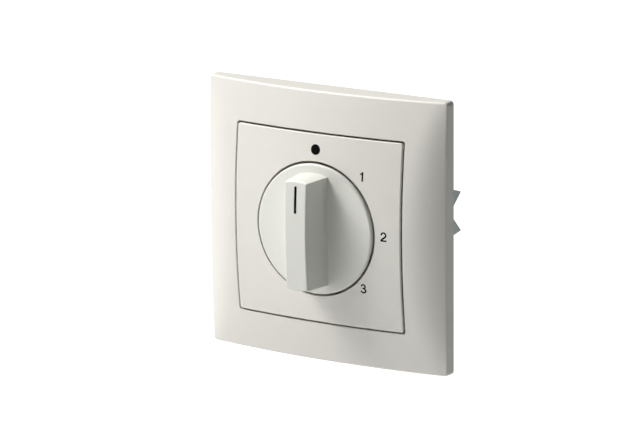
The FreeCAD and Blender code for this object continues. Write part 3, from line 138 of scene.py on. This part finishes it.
def linear(hex_colour):
    """Linear RGBA of an sRGB hex colour."""
    parts = [int(hex_colour[place:place + 2], 16) / 255 for place in (0, 2, 4)]
    return (*(c / 12.92 if c <= 0.04045 else ((c + 0.055) / 1.055) ** 2.4 for c in parts), 1.0)


def arc(across, up, wide, high, start, end, steps=24):
    """Points of an elliptical arc, its angles in degrees counter-clockwise from the right."""
    turns = [math.radians(start + (end - start) * step / steps) for step in range(steps + 1)]
    return [(across + wide * math.cos(turn), up + high * math.sin(turn)) for turn in turns]


# Outlines of the plain grotesque digits for a height of one: across, up
DIGIT_OUTLINES = {
    "1": [
        (0.0, 0.7), (0.0, 0.81), (0.1, 0.822), (0.18, 0.86), (0.235, 0.925), (0.258, 1.0),
        (0.395, 1.0), (0.395, 0.0), (0.22, 0.0), (0.22, 0.7),
    ],
    "2": arc(0.36, 0.655, 0.335, 0.345, 180, -30) + [
        (0.53, 0.36), (0.39, 0.27), (0.3, 0.205), (0.26, 0.155), (0.69, 0.155), (0.69, 0.0), (0.015, 0.0),
        (0.025, 0.1), (0.075, 0.205), (0.17, 0.315), (0.32, 0.425), (0.44, 0.505),
    ] + arc(0.36, 0.655, 0.165, 0.185, -30, 180),
    "3": (
        arc(0.345, 0.73, 0.295, 0.27, 175, -45) + arc(0.345, 0.295, 0.335, 0.305, 52, -172)
        + arc(0.345, 0.295, 0.165, 0.16, -172, 80) + [(0.25, 0.455), (0.25, 0.6)]
        + arc(0.345, 0.73, 0.13, 0.125, -80, 175)
    ),
}


# Settings

class FanSwitchMarks(bpy.types.PropertyGroup):
    """Sizes of the printed dial and of the pointer."""

    dot_circle: FloatProperty(
        name="Dot circle", description="Distance of the off dot from the knob's axis",
        default=23.45 * MM, unit="LENGTH")
    dot_diameter: FloatProperty(
        name="Off dot", description="Diameter of the off dot", default=3.1 * MM, unit="LENGTH")
    digit_height: FloatProperty(
        name="Digit height", description="Height of the digits", default=2.8 * MM, unit="LENGTH")
    pointer_top: FloatProperty(
        name="Pointer top", description="Upper end of the pointer line above the axis",
        default=14.85 * MM, unit="LENGTH")
    pointer_length: FloatProperty(
        name="Pointer length", description="Length of the pointer line", default=8.1 * MM, unit="LENGTH")
    pointer_width: FloatProperty(
        name="Pointer width", description="Width of the pointer line", default=0.8 * MM, unit="LENGTH")
    ink_thickness: FloatProperty(
        name="Ink", description="Thickness of the printed ink", default=0.03 * MM, unit="LENGTH")


class FanSwitchWebs(bpy.types.PropertyGroup):
    """Sizes of the webs that close the frame's ledge over the box screws."""

    pitch: FloatProperty(
        name="Screw pitch", description="Distance of the two box screws", default=60.0 * MM, unit="LENGTH")
    radius: FloatProperty(
        name="Web radius", description="Room for a box screw's head that the web closes",
        default=3.6 * MM, unit="LENGTH")
    reach: FloatProperty(
        name="Web reach", description="Where a web ends under the wall of the window, from the axis",
        default=29.0 * MM, unit="LENGTH")
    thickness: FloatProperty(
        name="Web thickness", description="Thickness of a web", default=0.5 * MM, unit="LENGTH")


class FanSwitchColours(bpy.types.PropertyGroup):
    """Main colours of the finishes."""

    cover: FloatVectorProperty(
        name="Cover", description="Warm white of the moulded cover",
        subtype="COLOR", size=4, min=0, max=1, default=linear("EFECE4"))
    cover_shade: FloatVectorProperty(
        name="Cover shade", description="Second, slightly darker white of the cover",
        subtype="COLOR", size=4, min=0, max=1, default=linear("EBE7E0"))
    knob: FloatVectorProperty(
        name="Knob", description="Slightly cooler white of the knob",
        subtype="COLOR", size=4, min=0, max=1, default=linear("ECECE4"))
    knob_shade: FloatVectorProperty(
        name="Knob shade", description="Second, slightly darker white of the knob",
        subtype="COLOR", size=4, min=0, max=1, default=linear("E8E7E0"))
    ink: FloatVectorProperty(
        name="Ink", description="Black of the printed marks",
        subtype="COLOR", size=4, min=0, max=1, default=linear("060606"))
    base: FloatVectorProperty(
        name="Base", description="Grey of the moulded switch base",
        subtype="COLOR", size=4, min=0, max=1, default=linear("4A4D50"))


class FanSwitchStage(bpy.types.PropertyGroup):
    """The photograph's camera and the floor."""

    azimuth: FloatProperty(
        name="Azimuth", description="Camera's turn to the right of the front",
        default=math.radians(32.221), subtype="ANGLE")
    elevation: FloatProperty(
        name="Elevation", description="Camera's height above the level",
        default=math.radians(13.899), subtype="ANGLE")
    roll: FloatProperty(
        name="Roll", description="Camera's turn about its line of sight",
        default=math.radians(-0.456), subtype="ANGLE")
    distance: FloatProperty(
        name="Distance", description="Camera's distance from the target", default=1.2248, unit="LENGTH")
    lens: FloatProperty(
        name="Lens", description="Focal length on a 36 mm wide sensor in millimetres", default=236.1)
    target: FloatVectorProperty(
        name="Target", description="Point in the middle of the picture", subtype="TRANSLATION",
        default=(-4.702 * MM, 0.0, 0.069 * MM))
    floor_drop: FloatProperty(
        name="Floor drop", description="How far the floor lies below the switch",
        default=0.25, unit="LENGTH")


# Nodes and materials

def add_node(tree, kind, inputs=None, **settings):
    """Adds a node with its settings. Inputs are values, or sockets to link from."""
    node = tree.nodes.new(kind)
    for name, value in settings.items():
        setattr(node, name, value)
    for name, value in (inputs or {}).items():
        if isinstance(value, bpy.types.NodeSocket):
            tree.links.new(value, node.inputs[name])
        else:
            node.inputs[name].default_value = value
    return node


def new_material(name):
    """Empty node material; returns it with its tree and its object coordinates."""
    material = bpy.data.materials.new(name)
    material.use_nodes = True
    tree = material.node_tree
    tree.nodes.clear()
    return material, tree, add_node(tree, "ShaderNodeTexCoord").outputs["Object"]


def close_material(tree, shader):
    """Joins a shader to the material's output."""
    add_node(tree, "ShaderNodeOutputMaterial", {"Surface": shader.outputs[0]})


def per_metre(size_mm):
    """Texture scale whose features are about that many millimetres wide."""
    return 1000.0 / size_mm


def dress(names, material):
    """Gives CAD nodes one finish."""
    for name in names:
        slots = NODES[name].data.materials
        slots.clear()
        slots.append(material)


# Shapes and pieces

def direction(azimuth, elevation):
    """Unit vector from the switch, turned to the right of the front and raised above the level."""
    level = math.cos(elevation)
    return Vector((math.sin(azimuth) * level, -math.cos(azimuth) * level, math.sin(elevation)))


def whole(bm):
    """All geometry of a bmesh."""
    return bm.verts[:] + bm.edges[:] + bm.faces[:]


def add_disc(bm, radius, centre):
    """Draws a round flat outline in X and Z, in an empty bmesh."""
    bmesh.ops.create_circle(bm, cap_ends=True, segments=ROUND_SIDES, radius=radius)
    bmesh.ops.transform(bm, verts=bm.verts, matrix=Matrix.Rotation(math.pi / 2, 4, "X"))
    bmesh.ops.translate(bm, verts=bm.verts, vec=centre)


def thicken(bm, thickness):
    """Makes a flat outline a closed sheet that grows into the wall, or out of it where negative."""
    grown = bmesh.ops.extrude_face_region(bm, geom=bm.faces[:])["geom"]
    moved = [item for item in grown if isinstance(item, bmesh.types.BMVert)]
    bmesh.ops.translate(bm, verts=moved, vec=(0, thickness, 0))


def print_on(bm, carrier, thickness):
    """Lays a flat outline, drawn in X and Z, on a CAD node's front and gives it the ink's thickness."""
    for vert in bm.verts:
        ahead = Vector((vert.co.x, -PRINT_START, vert.co.z))
        found, place, _, _ = NODES[carrier].ray_cast(ahead, Vector((0, 1, 0)))
        if not found:
            raise RuntimeError("nothing of %s lies under the print" % carrier)
        vert.co = place
    thicken(bm, -thickness)


def link_piece(name, bm, material):
    """Turns a bmesh in the row frame into an object of the scene."""
    mesh = bpy.data.meshes.new(name)
    bm.to_mesh(mesh)
    bm.free()
    mesh.materials.append(material)
    piece = bpy.data.objects.new(name, mesh)
    bpy.context.scene.collection.objects.link(piece)
    return piece


def finished_piece(name, bm, material, body):
    """Closes a bmesh and makes it a piece that rides on a body."""
    bmesh.ops.remove_doubles(bm, verts=bm.verts, dist=MERGE_DISTANCE)
    bmesh.ops.recalc_face_normals(bm, faces=bm.faces)
    piece = link_piece(name, bm, material)
    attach(piece, body)


# Finishes

def moulded_plastic(name, colour, shade):
    # Urea or ABS, injection moulded in a finely eroded tool: a satin white whose soft highlight is broken up
    # by a grain. The real grain is about 0.05 mm, drawn at 0.35 mm so that it shows.
    material, tree, place = new_material(name)
    cloud = add_node(tree, "ShaderNodeTexNoise", {"Vector": place, "Scale": per_metre(18), "Detail": 2.0})
    tone = add_node(tree, "ShaderNodeMix", {
        "Factor": cloud.outputs["Fac"], "A": shade, "B": colour,
    }, data_type="RGBA")
    grain = add_node(tree, "ShaderNodeTexNoise", {"Vector": place, "Scale": per_metre(0.35), "Detail": 1.0})
    gloss = add_node(tree, "ShaderNodeMapRange", {
        "Value": grain.outputs["Fac"], "From Min": 0.3, "From Max": 0.7, "To Min": 0.36, "To Max": 0.44,
    })
    bump = add_node(tree, "ShaderNodeBump", {
        "Height": grain.outputs["Fac"], "Strength": 0.05, "Distance": 0.02 * MM,
    })
    shader = add_node(tree, "ShaderNodeBsdfPrincipled", {
        "Base Color": tone.outputs["Result"], "Roughness": gloss.outputs["Result"], "IOR": 1.5,
        "Normal": bump.outputs["Normal"],
    })
    close_material(tree, shader)
    return material


def pad_printed_ink(colours):
    # Black pad printing ink: a thin matt film, a little lighter where the pad left less of it
    material, tree, place = new_material(INK_FINISH)
    film = add_node(tree, "ShaderNodeTexNoise", {"Vector": place, "Scale": per_metre(0.4), "Detail": 2.0})
    tone = add_node(tree, "ShaderNodeMix", {
        "Factor": film.outputs["Fac"], "A": colours.ink, "B": linear("0E0E0D"),
    }, data_type="RGBA")
    shader = add_node(tree, "ShaderNodeBsdfPrincipled", {
        "Base Color": tone.outputs["Result"], "Roughness": 0.6, "Specular IOR Level": 0.05,
    })
    close_material(tree, shader)
    return material


def zinc_plated_steel():
    # Cold rolled steel with blue passivated zinc: a cool grey metal, faintly clouded, with fine rolling
    # lines along the sheet. The lines are about 0.05 mm apart, drawn at 0.25 mm so that they show.
    material, tree, place = new_material("zinc_plated_steel")
    cloud = add_node(tree, "ShaderNodeTexNoise", {"Vector": place, "Scale": per_metre(4), "Detail": 3.0})
    tone = add_node(tree, "ShaderNodeMix", {
        "Factor": cloud.outputs["Fac"], "A": linear("BFC3C6"), "B": linear("DADBD8"),
    }, data_type="RGBA")
    along = add_node(tree, "ShaderNodeMapping", {"Vector": place, "Scale": (1.0, 1.0, 0.03)})
    lines = add_node(tree, "ShaderNodeTexNoise", {
        "Vector": along.outputs["Vector"], "Scale": per_metre(0.25), "Detail": 2.0,
    })
    gloss = add_node(tree, "ShaderNodeMapRange", {
        "Value": lines.outputs["Fac"], "From Min": 0.3, "From Max": 0.7, "To Min": 0.27, "To Max": 0.42,
    })
    bump = add_node(tree, "ShaderNodeBump", {
        "Height": lines.outputs["Fac"], "Strength": 0.08, "Distance": 0.02 * MM,
    })
    shader = add_node(tree, "ShaderNodeBsdfPrincipled", {
        "Base Color": tone.outputs["Result"], "Metallic": 1.0, "Roughness": gloss.outputs["Result"],
        "Normal": bump.outputs["Normal"],
    })
    close_material(tree, shader)
    return material


def filled_thermoset(colours):
    # Mineral filled melamine, press moulded: a dull grey with pale specks of filler and a slightly rough
    # skin. The specks are about 0.1 mm, drawn at 0.5 mm so that they show.
    material, tree, place = new_material("filled_grey_thermoset")
    speck = add_node(tree, "ShaderNodeTexVoronoi", {"Vector": place, "Scale": per_metre(0.5)})
    sparse = add_node(tree, "ShaderNodeMapRange", {
        "Value": speck.outputs["Distance"], "From Min": 0.12, "From Max": 0.3, "To Min": 0.35, "To Max": 0.0,
    })
    tone = add_node(tree, "ShaderNodeMix", {
        "Factor": sparse.outputs["Result"], "A": colours.base, "B": linear("7C7F80"),
    }, data_type="RGBA")
    skin = add_node(tree, "ShaderNodeTexNoise", {"Vector": place, "Scale": per_metre(0.6), "Detail": 3.0})
    gloss = add_node(tree, "ShaderNodeMapRange", {
        "Value": skin.outputs["Fac"], "From Min": 0.3, "From Max": 0.7, "To Min": 0.5, "To Max": 0.62,
    })
    bump = add_node(tree, "ShaderNodeBump", {
        "Height": skin.outputs["Fac"], "Strength": 0.12, "Distance": 0.03 * MM,
    })
    shader = add_node(tree, "ShaderNodeBsdfPrincipled", {
        "Base Color": tone.outputs["Result"], "Roughness": gloss.outputs["Result"], "IOR": 1.55,
        "Normal": bump.outputs["Normal"],
    })
    close_material(tree, shader)
    return material


def copper_alloy(name, bright, dull, line_mm):
    # Brass or bronze: a warm metal that tarnishes in soft clouds, with the lines of its rolls or of the
    # lathe. They are drawn coarser than real ones so that they show.
    material, tree, place = new_material(name)
    cloud = add_node(tree, "ShaderNodeTexNoise", {"Vector": place, "Scale": per_metre(3), "Detail": 3.0})
    tone = add_node(tree, "ShaderNodeMix", {
        "Factor": cloud.outputs["Fac"], "A": linear(dull), "B": linear(bright),
    }, data_type="RGBA")
    lines = add_node(tree, "ShaderNodeTexWave", {
        "Vector": place, "Scale": per_metre(line_mm) / WAVE_DIVISOR, "Distortion": 1.5,
    }, bands_direction="Y")
    gloss = add_node(tree, "ShaderNodeMapRange", {
        "Value": lines.outputs["Fac"], "To Min": 0.24, "To Max": 0.36,
    })
    shader = add_node(tree, "ShaderNodeBsdfPrincipled", {
        "Base Color": tone.outputs["Result"], "Metallic": 1.0, "Roughness": gloss.outputs["Result"],
    })
    close_material(tree, shader)
    return material


def pale_floor():
    # Matt white floor paint: pale, without gloss and hardly clouded
    material, tree, place = new_material("pale_studio_floor")
    cloud = add_node(tree, "ShaderNodeTexNoise", {"Vector": place, "Scale": 3.0, "Detail": 1.0})
    tone = add_node(tree, "ShaderNodeMix", {
        "Factor": cloud.outputs["Fac"], "A": linear("FBFBFB"), "B": linear("FEFEFE"),
    }, data_type="RGBA")
    shader = add_node(tree, "ShaderNodeBsdfPrincipled", {
        "Base Color": tone.outputs["Result"], "Roughness": 0.9, "Specular IOR Level": 0.0,
    })
    close_material(tree, shader)
    return material


def lit_paper(sight):
    # Background paper that glows evenly: pale grey, and white along the photograph's line of sight.
    # It isn't sampled as a lamp.
    material, tree, place = new_material("pale_paper_sweep")
    material.cycles.emission_sampling = "NONE"
    toward = add_node(tree, "ShaderNodeVectorMath", {0: place}, operation="NORMALIZE")
    along = add_node(tree, "ShaderNodeVectorMath", {
        0: toward.outputs["Vector"], 1: sight,
    }, operation="DOT_PRODUCT")
    near = add_node(tree, "ShaderNodeMapRange", {
        "Value": along.outputs["Value"], "From Min": SWEEP_GREY, "From Max": SWEEP_WHITE,
    })
    tone = add_node(tree, "ShaderNodeMix", {
        "Factor": near.outputs["Result"], "A": linear("CACCCC"), "B": linear("FFFFFF"),
    }, data_type="RGBA")
    shader = add_node(tree, "ShaderNodeEmission", {
        "Color": tone.outputs["Result"], "Strength": SWEEP_STRENGTH,
    })
    close_material(tree, shader)
    return material


# Operators

class FANSWITCH_OT_cover(bpy.types.Operator):
    """Finish the frame, the centre plate and the knob"""

    bl_idname = "fanswitch.cover"
    bl_label = "Finish Cover"

    def execute(self, context):
        colours = context.scene.fan_switch_colours
        dress(COVER_NODES, moulded_plastic("moulded_warm_white_plastic", colours.cover, colours.cover_shade))
        dress(KNOB_NODES, moulded_plastic("moulded_cool_white_plastic", colours.knob, colours.knob_shade))
        return {"FINISHED"}


class FANSWITCH_OT_ledge(bpy.types.Operator):
    """Close the frame's ledge over the box screws with thin webs, so that no light comes through"""

    bl_idname = "fanswitch.ledge"
    bl_label = "Close Ledge"

    def execute(self, context):
        webs = context.scene.fan_switch_webs
        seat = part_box("centre_plate")[1][1]
        bm = bmesh.new()
        add_disc(bm, webs.radius, (0, seat, webs.pitch / 2))
        bmesh.ops.bisect_plane(
            bm, geom=whole(bm), plane_co=(0, 0, webs.reach), plane_no=(0, 0, 1), clear_outer=True)
        thicken(bm, webs.thickness)
        bmesh.ops.mirror(
            bm, geom=whole(bm), matrix=Matrix.Identity(4), merge_dist=MERGE_DISTANCE, axis="Z")
        plastic = NODES["cover_frame"].data.materials[0]
        finished_piece("ledge_webs", bm, plastic, "insert")
        return {"FINISHED"}


class FANSWITCH_OT_insert(bpy.types.Operator):
    """Finish the steel, brass and moulded pieces of the insert"""

    bl_idname = "fanswitch.insert"
    bl_label = "Finish Insert"

    def execute(self, context):
        dress(STEEL_NODES, zinc_plated_steel())
        dress(BASE_NODES, filled_thermoset(context.scene.fan_switch_colours))
        dress(TURNED_NODES, copper_alloy("turned_brass", "D9B566", "B58F4A", 0.2))
        dress(STRIP_NODES, copper_alloy("rolled_brass_strip", "DDBB70", "BC9650", 0.3))
        dress(LEAF_NODES, copper_alloy("spring_bronze", "C68E5C", "A26E45", 0.3))
        return {"FINISHED"}


class FANSWITCH_OT_dial(bpy.types.Operator):
    """Print the off dot and the speeds on the centre plate"""

    bl_idname = "fanswitch.dial"
    bl_label = "Print Dial"

    def execute(self, context):
        marks = context.scene.fan_switch_marks
        ink = pad_printed_ink(context.scene.fan_switch_colours)
        bm = bmesh.new()
        add_disc(bm, marks.dot_diameter / 2, (0, 0, marks.dot_circle))
        print_on(bm, "centre_plate", marks.ink_thickness)
        finished_piece("off_dot", bm, ink, "insert")
        for digit, across, up in SPEED_MARKS:
            self.print_digit(marks, ink, digit, Vector((across * MM, 0, up * MM)))
        return {"FINISHED"}

    def print_digit(self, marks, ink, digit, place):
        """Prints one upright digit with its middle at a place on the dial."""
        points = DIGIT_OUTLINES[digit]
        middle = (min(across for across, _ in points) + max(across for across, _ in points)) / 2
        bm = bmesh.new()
        face = bm.faces.new([bm.verts.new((across - middle, 0, up - 0.5)) for across, up in points])
        face.normal_update()
        bmesh.ops.triangulate(bm, faces=[face])
        bmesh.ops.scale(bm, verts=bm.verts, vec=(marks.digit_height,) * 3)
        bmesh.ops.translate(bm, verts=bm.verts, vec=place)
        print_on(bm, "centre_plate", marks.ink_thickness)
        finished_piece("speed_mark_" + digit, bm, ink, "insert")


class FANSWITCH_OT_pointer(bpy.types.Operator):
    """Print the pointer line on the front of the knob's handle"""

    bl_idname = "fanswitch.pointer"
    bl_label = "Print Pointer"

    def execute(self, context):
        marks = context.scene.fan_switch_marks
        half = marks.pointer_width / 2
        reach = marks.pointer_length / 2 - half
        middle = marks.pointer_top - marks.pointer_length / 2
        bm = bmesh.new()
        rows = []
        for step in range(-2 * POINTER_ROWS, 2 * POINTER_ROWS + 1):
            # The inner rows follow the handle's bowed front, the outer ones draw the round ends
            inner = min(abs(step), POINTER_ROWS)
            turn = math.radians((abs(step) - inner) * POINTER_END_TURN)
            along = reach * inner / POINTER_ROWS + half * math.sin(turn)
            up = middle + math.copysign(along, step)
            wide = half * math.cos(turn)
            rows.append((bm.verts.new((-wide, 0, up)), bm.verts.new((wide, 0, up))))
        for (left, right), (next_left, next_right) in zip(rows, rows[1:]):
            bm.faces.new((left, right, next_right, next_left))
        print_on(bm, "knob", marks.ink_thickness)
        ink = bpy.data.materials.get(INK_FINISH) or pad_printed_ink(context.scene.fan_switch_colours)
        finished_piece("pointer_line", bm, ink, "knob")
        return {"FINISHED"}


class FANSWITCH_OT_stage(bpy.types.Operator):
    """Set the pale floor, the paper sweep, the soft light and the photograph's camera"""

    bl_idname = "fanswitch.stage"
    bl_label = "Set Stage"

    def execute(self, context):
        stage = context.scene.fan_switch_stage
        level = CAD_BOX[0][2] - stage.floor_drop
        self.lay_floor(level)
        self.hang_sweep(level + SWEEP_LIFT, -direction(stage.azimuth, stage.elevation))
        self.set_world(context)
        self.set_lights(context)
        self.set_camera(context, stage)
        context.scene.view_settings.view_transform = "Standard"
        return {"FINISHED"}

    def lay_floor(self, level):
        """Large pale floor below the switch, which throws light back at it."""
        bm = bmesh.new()
        bmesh.ops.create_grid(bm, x_segments=1, y_segments=1, size=FLOOR_REACH)
        bmesh.ops.translate(bm, verts=bm.verts, vec=(0, 0, level))
        link_piece("floor", bm, pale_floor())

    def hang_sweep(self, level, sight):
        """Paper over the floor and up all round it, which is seen but throws no light on the switch."""
        outline = [(0.0, 0.0)] + arc(SWEEP_FLAT, SWEEP_COVE, SWEEP_COVE, SWEEP_COVE, -90, 0)
        outline.append((SWEEP_FLAT + SWEEP_COVE, SWEEP_HEIGHT))
        bm = bmesh.new()
        corners = [bm.verts.new((across, 0, level + up)) for across, up in outline]
        edges = [bm.edges.new(ends) for ends in zip(corners, corners[1:])]
        bmesh.ops.spin(
            bm, geom=corners + edges, axis=(0, 0, 1), cent=(0, 0, 0), angle=math.tau, steps=SWEEP_SIDES,
            use_merge=True)
        sweep = link_piece("paper_sweep", bm, lit_paper(sight))
        # Only the camera's rays meet it
        for ray in ("diffuse", "glossy", "transmission", "volume_scatter", "shadow"):
            setattr(sweep, "visible_" + ray, False)

    def set_world(self, context):
        """Surroundings with a pale glow round the level, which fades out above and below."""
        world = bpy.data.worlds.new("pale_studio_walls")
        world.use_nodes = True
        tree = world.node_tree
        tree.nodes.clear()
        toward = add_node(tree, "ShaderNodeTexCoord").outputs["Generated"]
        height = add_node(tree, "ShaderNodeSeparateXYZ", {"Vector": toward})
        slope = add_node(tree, "ShaderNodeMath", {0: height.outputs["Z"]}, operation="ABSOLUTE")
        glow = add_node(tree, "ShaderNodeMapRange", {
            "Value": slope.outputs["Value"], "From Min": GLOW_FULL, "From Max": GLOW_END,
            "To Min": GLOW_STRENGTH, "To Max": 0.0,
        })
        walls = add_node(tree, "ShaderNodeBackground", {
            "Color": linear("F4FFFC"), "Strength": glow.outputs["Result"],
        })
        add_node(tree, "ShaderNodeOutputWorld", {"Surface": walls.outputs["Background"]})
        context.scene.world = world

    def set_lights(self, context):
        """Soft boxes round the switch, and flat ones that wash the floor behind it."""
        for name, azimuth, elevation, power in LIGHTS:
            toward = direction(math.radians(azimuth), math.radians(elevation))
            light = self.add_light(context, name, toward * LIGHT_DISTANCE, LIGHT_SIDE, power)
            light.rotation_euler = toward.to_track_quat("Z", "Y").to_euler()
        for name, place, turn, power, colour in FLOOR_WASHES:
            light = self.add_light(context, name, place, WASH_WIDTH, power)
            light.rotation_euler = (0, 0, math.radians(turn))
            light.data.shape = "RECTANGLE"
            light.data.size_y = WASH_LENGTH
            light.data.spread = math.radians(WASH_SPREAD)
            light.data.color = linear(colour)[:3]

    def add_light(self, context, name, place, side, power):
        """Square area light that points down until it is turned."""
        data = bpy.data.lights.new(name, "AREA")
        data.energy = power
        data.size = side
        light = bpy.data.objects.new(name, data)
        light.location = place
        context.scene.collection.objects.link(light)
        return light

    def set_camera(self, context, stage):
        """Camera with the photograph's viewing angle and frame."""
        back = direction(stage.azimuth, stage.elevation)
        right = Vector((math.cos(stage.azimuth), math.sin(stage.azimuth), 0))
        turn = Matrix((right, back.cross(right), back)).transposed() @ Matrix.Rotation(stage.roll, 3, "Z")
        data = bpy.data.cameras.new("photo_camera")
        data.sensor_width = SENSOR_WIDTH
        data.lens = stage.lens
        data.clip_start = NEAREST_SIGHT
        camera = bpy.data.objects.new("photo_camera", data)
        place = Vector(stage.target) + back * stage.distance
        camera.matrix_world = Matrix.Translation(place) @ turn.to_4x4()
        context.scene.collection.objects.link(camera)
        context.scene.camera = camera


class FANSWITCH_PT_sidebar(bpy.types.Panel):
    """Sizes, colours and steps of the fan switch"""

    bl_idname = "FANSWITCH_PT_sidebar"
    bl_label = "Fan Switch"
    bl_space_type = "VIEW_3D"
    bl_region_type = "UI"
    bl_category = "Fan Switch"

    def draw(self, context):
        for setting, _ in SETTINGS:
            group = getattr(context.scene, setting)
            box = self.layout.box()
            for name in group.bl_rna.properties.keys():
                if name not in {"rna_type", "name"}:
                    box.prop(group, name)
        for step in STEPS:
            self.layout.operator(step.bl_idname)


SETTINGS = (
    ("fan_switch_marks", FanSwitchMarks),
    ("fan_switch_webs", FanSwitchWebs),
    ("fan_switch_colours", FanSwitchColours),
    ("fan_switch_stage", FanSwitchStage),
)
STEPS = (
    FANSWITCH_OT_cover, FANSWITCH_OT_ledge, FANSWITCH_OT_insert, FANSWITCH_OT_dial, FANSWITCH_OT_pointer,
    FANSWITCH_OT_stage,
)


def register():
    for name, group in SETTINGS:
        bpy.utils.register_class(group)
        setattr(bpy.types.Scene, name, PointerProperty(type=group))
    for step in STEPS:
        bpy.utils.register_class(step)
    bpy.utils.register_class(FANSWITCH_PT_sidebar)


def unregister():
    bpy.utils.unregister_class(FANSWITCH_PT_sidebar)
    for step in reversed(STEPS):
        bpy.utils.unregister_class(step)
    for name, group in reversed(SETTINGS):
        delattr(bpy.types.Scene, name)
        bpy.utils.unregister_class(group)


def main():
    register()
    bpy.ops.fanswitch.cover()
    bpy.ops.fanswitch.ledge()
    bpy.ops.fanswitch.insert()
    bpy.ops.fanswitch.dial()
    bpy.ops.fanswitch.pointer()
    bpy.ops.fanswitch.stage()


if __name__ == "__main__":
    main()
